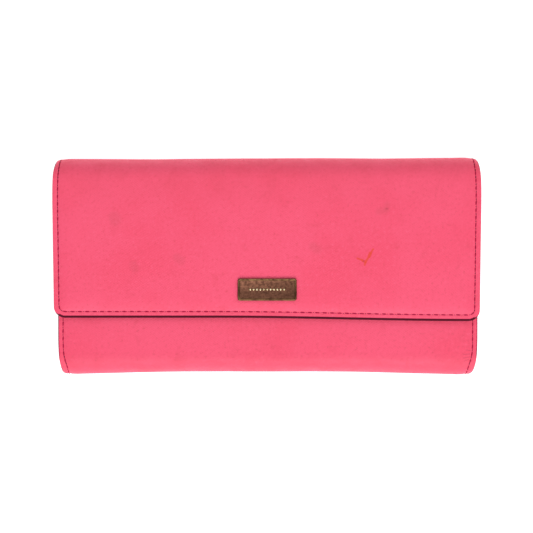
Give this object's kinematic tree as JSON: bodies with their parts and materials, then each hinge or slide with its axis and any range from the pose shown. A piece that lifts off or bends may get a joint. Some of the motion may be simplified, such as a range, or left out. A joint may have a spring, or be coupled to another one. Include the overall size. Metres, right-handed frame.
{
  "type": "long wallet",
  "caption": "Long flap wallet with a snap under its flap, side gussets, a zipped coin divider, note compartments and card slots.",
  "frame": {"origin": "centre of the closed wallet's footprint, on the surface that its back lies on", "axes": "+X along the wallet's length, +Y from the bottom fold to the top fold that the flap hangs from, +Z out of the back through the leaves to the flap"},
  "size_m": [0.1906, 0.096, 0.0254],
  "materials": {
    "outer_leather": "cross-grained calf leather, satin, hot coral pink",
    "inner_leather": "smooth thin leather, matte, the same pink a shade deeper",
    "lining_cloth": "fine twill lining, matte beige",
    "board": "stiffening board, matte",
    "thread": "waxed polyester thread, darker pink",
    "clear_film": "clear soft film",
    "zip_tape": "woven herringbone tape, matte",
    "zip_metal": "polished light gold plate",
    "snap_metal": "antique gold plate, satin",
    "plaque_metal": "antique bronze, brushed face in a darker raised rim"
  },
  "bodies": {
    "back_leaf": {"back_leather": "outer_leather", "back_board": "board", "back_lining": "lining_cloth", "bottom_fold_lining": "lining_cloth", "back_stitching": "thread", "card_slot_left_1": "inner_leather", "card_slot_left_2": "inner_leather", "card_slot_left_3": "inner_leather", "card_slot_left_4": "inner_leather", "card_slot_right_2": "inner_leather", "card_slot_right_3": "inner_leather", "card_slot_right_4": "inner_leather", "id_pocket_film": "clear_film", "id_pocket_trim": "inner_leather", "gusset_left": "inner_leather", "gusset_right": "inner_leather"},
    "coin_divider": {"coin_wall_back": "inner_leather", "coin_wall_front": "inner_leather", "coin_bottom_binding": "inner_leather", "coin_side_binding_left": "inner_leather", "coin_side_binding_right": "inner_leather", "zip_tape_back": "zip_tape", "zip_tape_front": "zip_tape", "zip_teeth_back": "zip_metal", "zip_teeth_front": "zip_metal", "zip_stops": "zip_metal"},
    "slider": {"zip_slider": "zip_metal", "zip_pull_pin": "zip_metal"},
    "pull_tab": {"zip_pull": "zip_metal"},
    "front_leaf": {"front_leather": "outer_leather", "front_board": "board", "front_lining": "lining_cloth", "front_slip_pocket": "lining_cloth", "front_pocket_trim": "inner_leather", "front_stitching": "thread", "snap_socket": "snap_metal", "snap_socket_post": "snap_metal"},
    "top_fold": {"top_fold_leather": "outer_leather", "top_fold_lining": "lining_cloth"},
    "flap": {"flap_leather": "outer_leather", "flap_board": "board", "flap_lining": "lining_cloth", "flap_stitching": "thread", "snap_stud": "snap_metal", "snap_stud_rivet": "snap_metal", "plaque": "plaque_metal", "plaque_backing_plate": "snap_metal"}
  },
  "joints": [
    {"name": "flap_fold_lower", "type": "hinge", "parent": "back_leaf", "child": "top_fold", "pos_m": [0, 0.04536, 0.00264], "axis": [-1, 0, 0], "range_deg": [0, 89]},
    {"name": "flap_fold_upper", "type": "hinge", "parent": "top_fold", "child": "flap", "pos_m": [0, 0.04536, 0.02136], "axis": [-1, 0, 0], "range_deg": [0, 89]},
    {"name": "divider_open", "type": "hinge", "parent": "back_leaf", "child": "coin_divider", "pos_m": [0, -0.04566, 0.01776], "axis": [1, 0, 0], "range_deg": [0, 9.8]},
    {"name": "front_open", "type": "hinge", "parent": "back_leaf", "child": "front_leaf", "pos_m": [0, -0.04566, 0.01776], "axis": [1, 0, 0], "range_deg": [0, 19.6], "deforming": ["gusset_left", "gusset_right"]},
    {"name": "zip_travel", "type": "slide", "parent": "coin_divider", "child": "slider", "axis": [1, 0, 0], "range_m": [-0.132, 0]},
    {"name": "zip_pull_swing", "type": "hinge", "parent": "slider", "child": "pull_tab", "pos_m": [0.0655, 0.0319, 0.0108], "axis": [0, 0, -1], "range_deg": [0, 180]}
  ],
  "couplings": [
    {"joint": "flap_fold_upper", "follows": "flap_fold_lower", "ratio": 1},
    {"joint": "divider_open", "follows": "flap_fold_lower", "ratio": 0.11},
    {"joint": "front_open", "follows": "flap_fold_lower", "ratio": 0.22}
  ]
}
